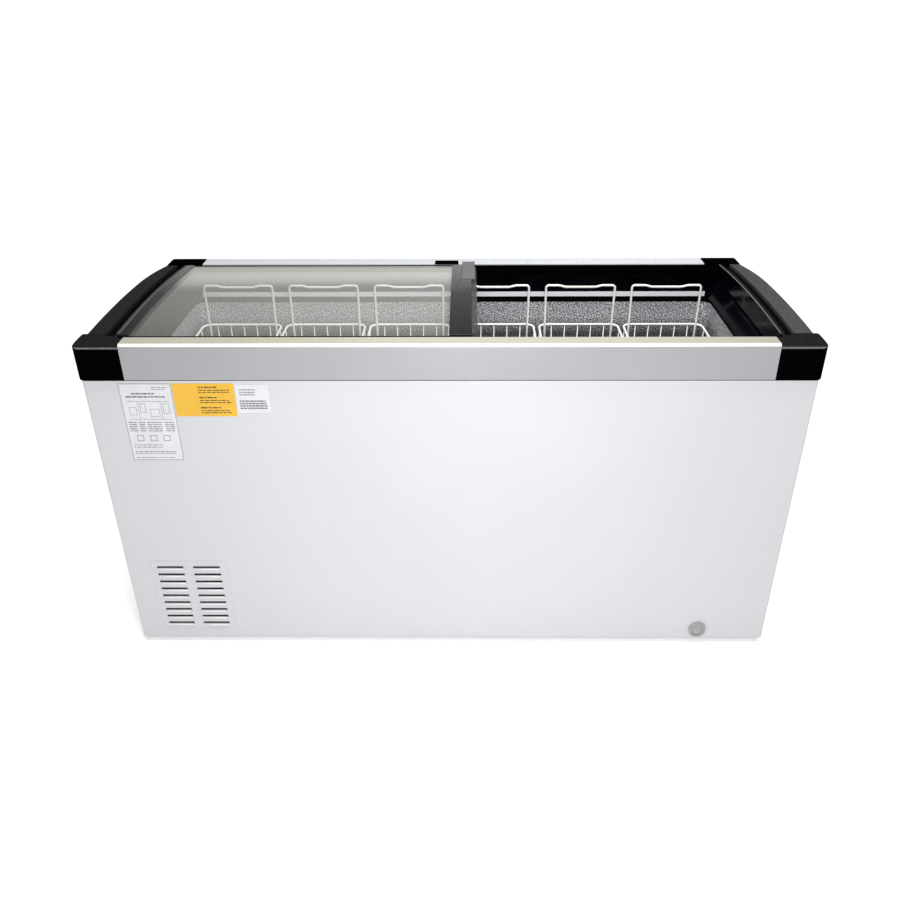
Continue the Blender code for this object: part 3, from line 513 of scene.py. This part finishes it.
def quarter(x, drop, radius, start, steps=4):
    """A quarter round of (x, drop) points, turning clockwise from a start angle in degrees."""
    points = []
    for step in range(steps + 1):
        angle = math.radians(start - 90 * step / steps)
        points.append((x + radius * math.cos(angle), drop - radius * math.sin(angle)))
    return points


def frame_section(inner, outer, deep):
    """Section across an end frame as (distance outwards, drop below the arch, finish zone)."""
    slot_in = inner + SLOT_INSET
    slot_out = slot_in + SLOT_WIDTH
    zones = (
        (1, [(inner, deep), (inner, 1.6 * INNER_ROUND)]),
        # Zone 2, the inner round edge, carries a painted highlight.
        (2, quarter(inner + INNER_ROUND, INNER_ROUND, INNER_ROUND, 180, 2)),
        (4, quarter(slot_in - SLOT_ROUND_IN, SLOT_ROUND_IN, SLOT_ROUND_IN, 90)),
        (3, [(slot_in, SLOT_DEPTH), (slot_out, SLOT_DEPTH)]),
        (0, quarter(slot_out + SLOT_ROUND_OUT, SLOT_ROUND_OUT, SLOT_ROUND_OUT, 180)),
        (0, quarter(outer - EDGE_ROUND, EDGE_ROUND, EDGE_ROUND, 90, 8)),
        (0, [(outer, deep)]),
    )
    return [(x, drop, zone) for zone, points in zones for x, drop in points]


def end_frame(side, finishes_of_zones):
    """An arched frame with rounded edges, its section swept from front to rear in five finishes, among them a
    painted highlight on the inner round edge and painted light or shade on the outer band and inner land.
    """
    name = f"end_frame_{side}"
    low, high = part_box(name)
    inner = min(abs(low.x), abs(high.x))
    widest = max(abs(low.x), abs(high.x))
    way = 1 if high.x > 0 else -1
    deep = high.z - low.z - FRAME_DROP
    bm = bmesh.new()
    rings = []
    for step in range(FRAME_STEPS + 1):
        y = low.y + (high.y - low.y) * step / FRAME_STEPS
        share = max(0.0, (y - TAPER_FROM) / (high.y - TAPER_FROM))
        section = frame_section(inner, widest - FRAME_TAPER * share**2, deep)
        top = crown(y, high.z)
        ring = []
        for index, (x, drop, _) in enumerate(section):
            at_foot = index in (0, len(section) - 1)
            ring.append(bm.verts.new((way * x, y, low.z if at_foot else top - drop)))
        rings.append(ring)
    count = len(section)
    for before, after in zip(rings, rings[1:]):
        for here in range(count):
            there = (here + 1) % count
            face = bm.faces.new((before[here], before[there], after[there], after[here]))
            face.smooth = True
            face.material_index = section[there][2] if there else 0
    for ring in (rings[0], rings[-1]):
        bm.faces.new(ring)
    obj = add(f"{name}_finished", bm, finishes_of_zones[0], "cabinet", "black_plastic", name)
    for made in finishes_of_zones[1:]:
        obj.data.materials.append(made)
    obj.data.set_sharp_from_angle(angle=math.radians(40))


# ---------------------------------------------------------- kept and rounded


def tint_faces(obj, made, chosen):
    """Gives another finish, here a painted highlight or painted light, to the faces whose normal is chosen.
    """
    obj.data.materials.append(made)
    for face in obj.data.polygons:
        if chosen(face.normal):
            face.material_index = len(obj.data.materials) - 1


def smooth_normals(mesh, crease=32):
    """Shades a curved surface smooth where its facets meet at less than the crease, in degrees."""
    limit = math.cos(math.radians(crease))
    meeting = {}
    for face in mesh.polygons:
        for index in face.vertices:
            spot = tuple(round(value, 5) for value in mesh.vertices[index].co)
            meeting.setdefault(spot, []).append((face.normal.copy(), face.area))
    normals = []
    for face in mesh.polygons:
        for index in face.vertices:
            spot = tuple(round(value, 5) for value in mesh.vertices[index].co)
            near = [normal * area for normal, area in meeting[spot] if normal.dot(face.normal) > limit]
            normals.append(sum(near, Vector()).normalized() if near else face.normal)
    mesh.shade_smooth()
    mesh.normals_split_custom_set(normals)


def rounded_copy(name, made, width, slot):
    """Stands for a CAD node with the same shape, its edges rounded by a width."""
    bm = bmesh.new()
    bm.from_mesh(NODES[name].data)
    bmesh.ops.remove_doubles(bm, verts=bm.verts[:], dist=0.00001)
    bmesh.ops.dissolve_limit(bm, angle_limit=math.radians(0.5), verts=bm.verts[:], edges=bm.edges[:])
    for face in bm.faces:
        face.smooth = True
    obj = add(f"{name}_finished", bm, made, NODES[name]["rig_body"], slot, name)
    rounding = obj.modifiers.new("Rounding", "BEVEL")
    rounding.width = width
    rounding.segments = 3
    rounding.limit_method = "ANGLE"
    rounding.angle_limit = math.radians(30)
    weighted = obj.modifiers.new("Weighted", "WEIGHTED_NORMAL")
    weighted.weight = 80
    return obj


# ------------------------------------------------------------------ meshes


def add(name, bm, made, body, slot, *replaced):
    """Puts a bmesh in the scene as one piece that rides on a body and stands for CAD nodes."""
    bmesh.ops.recalc_face_normals(bm, faces=bm.faces[:])
    mesh = bpy.data.meshes.new(name)
    bm.to_mesh(mesh)
    bm.free()
    mesh.materials.append(made)
    obj = bpy.data.objects.new(name, mesh)
    bpy.context.scene.collection.objects.link(obj)
    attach(obj, body)
    if replaced:
        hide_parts(*replaced)
    return obj


def sweep(bm, path, radius, closed=False, sides=8):
    """Sweeps a round section along a path of points."""
    path = [Vector(point) for point in path]
    count = len(path)
    across = Vector((0.31, 0.47, 0.83))
    rings = []
    for index, point in enumerate(path):
        if closed:
            ahead = path[(index + 1) % count] - path[index - 1]
        else:
            ahead = path[min(index + 1, count - 1)] - path[max(index - 1, 0)]
        ahead.normalize()
        across = (across - ahead * across.dot(ahead)).normalized()
        other = ahead.cross(across)
        ring = []
        for side in range(sides):
            angle = 2 * math.pi * side / sides
            ring.append(bm.verts.new(point + radius * (across * math.cos(angle) + other * math.sin(angle))))
        rings.append(ring)
    for lower, upper in zip(rings, rings[1:]):
        for side in range(sides):
            after = (side + 1) % sides
            bm.faces.new((lower[side], lower[after], upper[after], upper[side])).smooth = True
    if not closed:
        bm.faces.new(rings[0])
        bm.faces.new(rings[-1])
        return
    turn = min(range(sides), key=lambda shift: (rings[0][shift].co - rings[-1][0].co).length)
    for side in range(sides):
        after = (side + 1) % sides
        first = rings[0][(side + turn) % sides]
        second = rings[0][(after + turn) % sides]
        bm.faces.new((rings[-1][side], rings[-1][after], second, first)).smooth = True


def round_rectangle(low, high, radius, steps=5):
    """The points of a rectangle with rounded corners, anticlockwise."""
    corners = (
        (high[0] - radius, low[1] + radius, -90),
        (high[0] - radius, high[1] - radius, 0),
        (low[0] + radius, high[1] - radius, 90),
        (low[0] + radius, low[1] + radius, 180),
    )
    points = []
    for x, y, start in corners:
        for step in range(steps + 1):
            angle = math.radians(start + 90 * step / steps)
            points.append((x + radius * math.cos(angle), y + radius * math.sin(angle)))
    return points


# ----------------------------------------------------------------- baskets


def u_wire(low, high, floor, rim, bend=0.008, steps=4):
    """Down from the rim, round a bend, across the floor and up again, as (along, height) pairs."""
    points = [(low, rim)]
    for step in range(steps + 1):
        angle = math.radians(180 + 90 * step / steps)
        points.append((low + bend + bend * math.cos(angle), floor + bend + bend * math.sin(angle)))
    return points + [(low + high - along, height) for along, height in reversed(points)]


def handle_path(centre, depth, rim, top):
    """One leg up from below the rim, a bend, the dipped top and the other leg."""
    half = [(0.0, top - HANDLE_DIP), (0.034, top - HANDLE_DIP), (0.040, top - HANDLE_DIP * 0.85)]
    half += [(0.050, top - HANDLE_DIP * 0.2), (0.056, top)]
    for step in range(6):
        angle = math.radians(90 - 18 * step)
        x = HANDLE_HALF - HANDLE_BEND + HANDLE_BEND * math.cos(angle)
        half.append((x, top - HANDLE_BEND + HANDLE_BEND * math.sin(angle)))
    half.append((HANDLE_HALF - 0.001, rim))
    half.append((HANDLE_HALF - 0.002, rim - HANDLE_FOOT))
    whole = [(-x, z) for x, z in reversed(half[1:])] + half
    return [(centre + x, depth, z) for x, z in whole]


def spaced(low, high, pitch):
    """Even places between two ends, about a pitch apart, leaving the ends out."""
    count = max(1, round((high - low) / pitch))
    return [low + (high - low) * step / count for step in range(1, count)]


def wire_basket(number, made):
    """A basket of coated wire: rim, hoops, two families of bent wires and two lifting handles."""
    low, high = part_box(f"basket_{number}")
    floor = low.z + GRID_WIRE
    rim = RIM_HEIGHT - RIM_WIRE
    left, right = low.x + RIM_WIRE, high.x - RIM_WIRE
    front, rear = low.y + RIM_WIRE, high.y - RIM_WIRE
    bm = bmesh.new()
    edge = round_rectangle((left, front), (right, rear), BASKET_CORNER)
    sweep(bm, [(x, y, rim) for x, y in edge], RIM_WIRE, closed=True)
    near, far = (left + HOOP_INSET, front + HOOP_INSET), (right - HOOP_INSET, rear - HOOP_INSET)
    inner = round_rectangle(near, far, BASKET_CORNER - HOOP_INSET)
    for height in [rim - HANDLE_FOOT] + spaced(floor, rim - HANDLE_FOOT, HOOP_PITCH):
        sweep(bm, [(x, y, height) for x, y in inner], HOOP_WIRE, closed=True, sides=6)
    for x in spaced(left, right, GRID_PITCH):
        path = [(x, along, height) for along, height in u_wire(front, rear, floor, rim)]
        sweep(bm, path, GRID_WIRE, sides=6)
    for y in spaced(front, rear, GRID_PITCH):
        path = [(along, y, height) for along, height in u_wire(left, right, floor + 2 * GRID_WIRE, rim)]
        sweep(bm, path, GRID_WIRE, sides=6)
    centre = (left + right) / 2
    top = high.z - RIM_WIRE
    for depth in (front + 2 * RIM_WIRE, rear - 2 * RIM_WIRE):
        sweep(bm, handle_path(centre, depth, rim, top), RIM_WIRE)
    name = f"basket_{number}"
    add(f"wire_{name}", bm, made, name, "coated_wire", name)


def baskets():
    """Six baskets side by side, in one shared material."""
    made = coated_wire()
    for number in range(1, BASKETS + 1):
        wire_basket(number, made)


# ------------------------------------------------------------------- brush


def brush_strip():
    """Rows of short bristles along the right lid's free edge."""
    source = NODES["right_lid_brush"]
    low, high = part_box("right_lid_brush")
    surface = sorted((v.co.y, v.co.z) for v in source.data.vertices)
    depths = sorted({round(y, 5) for y, _ in surface})
    tops = [max(z for y, z in surface if abs(y - depth) < 1e-4) for depth in depths]

    def top_at(depth):
        for index in range(len(depths) - 1):
            if depth <= depths[index + 1]:
                share = (depth - depths[index]) / (depths[index + 1] - depths[index])
                return tops[index] + (tops[index + 1] - tops[index]) * share
        return tops[-1]

    random.seed(7)
    bm = bmesh.new()
    width = (high.x - low.x) / BRUSH_ROWS
    length = (high.y - low.y) / BRUSH_TUFTS
    half = length * 0.48
    for row in range(BRUSH_ROWS):
        for tuft in range(BRUSH_TUFTS):
            y = low.y + length * (tuft + 0.5)
            top = top_at(y) - random.uniform(0.0, PILE_UNEVEN)
            foot = top_at(y) - PILE_HEIGHT
            x0 = low.x + row * width
            x1 = x0 + width * random.uniform(0.55, 0.98)
            lean = random.uniform(-PILE_LEAN, PILE_LEAN)
            corners = ((x0, y - half), (x1, y - half), (x1, y + half), (x0, y + half))
            base = [bm.verts.new((*corner, foot)) for corner in corners]
            tip = [bm.verts.new((v.co.x * 0.5 + (x0 + x1) * 0.25, v.co.y + lean, top)) for v in base]
            bm.faces.new(base)
            bm.faces.new(tip)
            for here in range(4):
                there = (here + 1) % 4
                bm.faces.new((base[here], base[there], tip[there], tip[here]))
    add("brush_pile", bm, bristle(), "right_lid", "brush", "right_lid_brush")


# ------------------------------------------------------------------ labels


def paper(name, ground):
    """Label stock, slightly uneven, with a soft sheen."""
    made = blank(name, ground, 0.42)
    vary_colour(made, noise(made, 30), [0.96 * part for part in ground], [1.03 * part for part in ground])
    vary_roughness(made, noise(made, 80), 0.36, 0.48)
    return made


def ink(name, tone):
    """Printing ink that covers unevenly."""
    made = blank(name, tone, 0.5)
    vary_colour(made, noise(made, 400), [0.7 * part for part in tone], [1.3 * part for part in tone])
    return made


def words(left, right, low, high, rows, weight, fill=0.9):
    """Rows of short bars that stand for print: (left, right, bottom, top) in shares of the label."""
    bars = []
    for row in range(rows):
        middle = low + (high - low) * (row + 0.5) / rows
        x = left
        end = left + (right - left) * random.uniform(fill - 0.12, fill)
        while x < end:
            width = random.uniform(0.03, 0.11)
            bars.append((x, min(x + width, end), middle - weight / 2, middle + weight / 2))
            x += width + 0.015
    return bars


def outline(left, right, low, high, weight, squash=0.6):
    """Four thin bars round a rectangle. Squash thins the upright ones on a tall label."""
    thin = weight * squash
    return [
        (left, right, low, low + weight), (left, right, high - weight, high),
        (left, left + thin, low, high), (right - thin, right, low, high),
    ]


def label(name, left, right, bottom, top, stock, print_ink, bars):
    """A thin sticker on the front panel's face, measured from the cabinet's left side and foot."""
    panel_low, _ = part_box("front_panel")
    left, right = panel_low.x + left, panel_low.x + right
    bottom, top = panel_low.z + bottom, panel_low.z + top
    face = panel_low.y + LIP_DEPTH
    bm = bmesh.new()
    points = round_rectangle((left, bottom), (right, top), PAPER_CORNER, 3)
    depths = (face - PAPER_BACK, face - PAPER_FACE)
    rings = [[bm.verts.new((x, depth, z)) for x, z in points] for depth in depths]
    bm.faces.new(rings[0])
    bm.faces.new(rings[1])
    for here in range(len(points)):
        there = (here + 1) % len(points)
        bm.faces.new((rings[0][here], rings[0][there], rings[1][there], rings[1][here]))
    for x0, x1, z0, z1 in bars:
        corners = []
        for depth in (face - PAPER_FACE, face - PRINT_FACE):
            for x, z in ((x0, z0), (x1, z0), (x1, z1), (x0, z1)):
                spot = (left + (right - left) * x, depth, bottom + (top - bottom) * z)
                corners.append(bm.verts.new(spot))
        for ring in ((0, 1, 2, 3), (4, 5, 6, 7), (0, 1, 5, 4), (1, 2, 6, 5), (2, 3, 7, 6), (3, 0, 4, 7)):
            bm.faces.new([corners[index] for index in ring]).material_index = 1
    obj = add(name, bm, stock, "cabinet", "white_steel")
    obj.data.materials.append(print_ink)


def labels():
    """Three stickers with generic bars in place of print: data plate, yellow notice and a small slip."""
    random.seed(21)
    white = paper("paper_white", (0.70, 0.71, 0.73))
    yellow = paper("paper_yellow", (0.80, 0.46, 0.035))
    grey = ink("ink_grey", (0.16, 0.16, 0.17))
    brown = ink("ink_brown", (0.12, 0.07, 0.01))
    bars = outline(0.0, 1.0, 0.0, 1.0, 0.005, 1.6)
    bars += words(0.62, 0.97, 0.92, 0.965, 2, 0.007)
    bars += words(0.22, 0.80, 0.86, 0.89, 1, 0.018)
    bars += words(0.10, 0.95, 0.82, 0.85, 1, 0.018, 1.0)
    for column, width, low, height in (
        (0.12, 0.14, 0.60, 0.10), (0.34, 0.10, 0.63, 0.12), (0.52, 0.18, 0.58, 0.10), (0.78, 0.12, 0.62, 0.13)
    ):
        bars += outline(column, column + width, low, low + height, 0.004, 1.6)
    bars += [(0.10, 0.92, 0.775, 0.779), (0.10, 0.92, 0.545, 0.549)]
    bars += [(0.30, 0.306, 0.549, 0.775), (0.74, 0.746, 0.549, 0.775)]
    for left, right in ((0.06, 0.22), (0.26, 0.38), (0.42, 0.72), (0.76, 0.94)):
        bars += words(left, right, 0.38, 0.52, 5, 0.010, 1.0)
    for column in (0.16, 0.42, 0.68):
        bars += outline(column, column + 0.13, 0.26, 0.335, 0.006, 1.6)
    bars += words(0.06, 0.92, 0.16, 0.22, 2, 0.008, 0.75)
    bars += words(0.06, 0.92, 0.08, 0.13, 2, 0.008, 1.0)
    bars += words(0.06, 0.94, 0.02, 0.05, 1, 0.007, 1.0)
    label("label_data", 0.074, 0.183, 0.486, 0.662, white, grey, bars)
    bars = []
    for top in (0.93, 0.62, 0.31):
        bars += words(0.42, 0.80, top - 0.09, top, 1, 0.040, 0.9)
        bars += words(0.42, 0.97, top - 0.23, top - 0.10, 2, 0.028, 0.95)
    label("label_yellow", 0.185, 0.314, 0.589, 0.6625, yellow, brown, bars)
    bars = words(0.10, 0.70, 0.60, 0.86, 3, 0.035) + words(0.08, 0.95, 0.12, 0.46, 4, 0.050, 1.0)
    label("label_small", 0.317, 0.386, 0.597, 0.660, white, grey, bars)


def louvre_edges(white):
    """A faint pressed bead round the louvres and the rolled lip under each slot, its paleness a painted
    highlight.
    """
    low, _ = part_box("front_panel")
    face = low.y + LIP_DEPTH
    bm = bmesh.new()
    points = round_rectangle(BEAD_LOW, BEAD_HIGH, BEAD_CORNER, 4)
    path = [(low.x + x, face + BEAD_SUNK, low.z + z) for x, z in points]
    sweep(bm, path, BEAD_ROUND, closed=True)
    add("louvre_surround", bm, white, "cabinet", "white_steel")
    bm = bmesh.new()
    for left, right in LOUVRE_COLUMNS:
        for row in range(LOUVRE_ROWS):
            z = low.z + LOUVRE_LOWEST + row * LOUVRE_PITCH - LIP_DROP
            sweep(bm, [(low.x + x, face - LIP_STAND, z) for x in (left, right)], LIP_ROUND)
    add("louvre_lips", bm, lip_highlight(), "cabinet", "white_steel")


# ------------------------------------------------------------------- stage


def floor():
    """A wide pale floor, lit enough to read as white."""
    made = blank("pale_floor", (0.90, 0.90, 0.90), 0.8, Emission_Strength=0.34)
    shader_of(made).inputs["Emission Color"].default_value = (1.0, 1.0, 1.0, 1.0)
    vary_colour(made, noise(made, 1.5), (0.93, 0.93, 0.93), (0.94, 0.94, 0.94))
    bm = bmesh.new()
    bmesh.ops.create_grid(bm, x_segments=1, y_segments=1, size=80)
    mesh = bpy.data.meshes.new("floor")
    bm.to_mesh(mesh)
    bm.free()
    mesh.materials.append(made)
    obj = bpy.data.objects.new("floor", mesh)
    bpy.context.scene.collection.objects.link(obj)


def sun(name, rotation, strength, softness):
    """Even soft light from one side; the rotation is in degrees and the softness is its angle across."""
    data = bpy.data.lights.new(name, "SUN")
    data.energy = strength
    data.angle = math.radians(softness)
    obj = bpy.data.objects.new(name, data)
    obj.rotation_euler = [math.radians(turn) for turn in rotation]
    bpy.context.scene.collection.objects.link(obj)


def lamp(name, spot, aim, size, power):
    """A soft rectangular lamp that lights but is not itself seen."""
    data = bpy.data.lights.new(name, "AREA")
    data.shape = "RECTANGLE"
    data.size, data.size_y = size
    data.energy = power
    obj = bpy.data.objects.new(name, data)
    obj.location = spot
    obj.rotation_euler = (Vector(aim) - Vector(spot)).to_track_quat("-Z", "Y").to_euler()
    obj.visible_camera = False
    bpy.context.scene.collection.objects.link(obj)


def studio():
    """Even white surroundings, soft light from above and three lamps at the front."""
    world = bpy.data.worlds.new("studio")
    world.use_nodes = True
    backdrop = world.node_tree.nodes["Background"]
    backdrop.inputs["Color"].default_value = (1.0, 1.0, 1.0, 1.0)
    backdrop.inputs["Strength"].default_value = 0.16
    bpy.context.scene.world = world
    sun("overhead", rotation=(3, 5, 0), strength=2.0, softness=35)
    lamp("flash", spot=(0.10, -1.75, 1.50), aim=(0.05, 0.0, 0.6), size=(0.3, 0.3), power=13.5)
    lamp("front", spot=(0.06, -0.98, 0.80), aim=(0.06, -0.31, 0.55), size=(0.12, 0.6), power=1.6)
    lamp("mouth", spot=(0.25, -0.20, 1.35), aim=(0.10, 0.26, 0.64), size=(1.2, 0.1), power=4.5)
    bpy.context.scene.view_settings.view_transform = "Standard"


def camera():
    """A camera at the photographer's place, its axes worked out from yaw, pitch and roll."""
    data = bpy.data.cameras.new("camera")
    data.sensor_width = 36.0
    data.lens = CAMERA_LENS
    data.shift_x, data.shift_y = CAMERA_SHIFT
    data.clip_end = 300
    level = Vector((math.sin(CAMERA_YAW), math.cos(CAMERA_YAW), 0))
    side = Vector((math.cos(CAMERA_YAW), -math.sin(CAMERA_YAW), 0))
    upright = Vector((0, 0, 1))
    look = level * math.cos(CAMERA_PITCH) - upright * math.sin(CAMERA_PITCH)
    above = upright * math.cos(CAMERA_PITCH) + level * math.sin(CAMERA_PITCH)
    right = side * math.cos(CAMERA_ROLL) + above * math.sin(CAMERA_ROLL)
    up = above * math.cos(CAMERA_ROLL) - side * math.sin(CAMERA_ROLL)
    axes = Matrix((right, up, -look)).transposed()
    obj = bpy.data.objects.new("camera", data)
    obj.matrix_world = Matrix.Translation(CAMERA_PLACE) @ axes.to_4x4()
    bpy.context.scene.collection.objects.link(obj)
    bpy.context.scene.camera = obj


camera()
studio()
floor()
finishes()
baskets()
brush_strip()
labels()
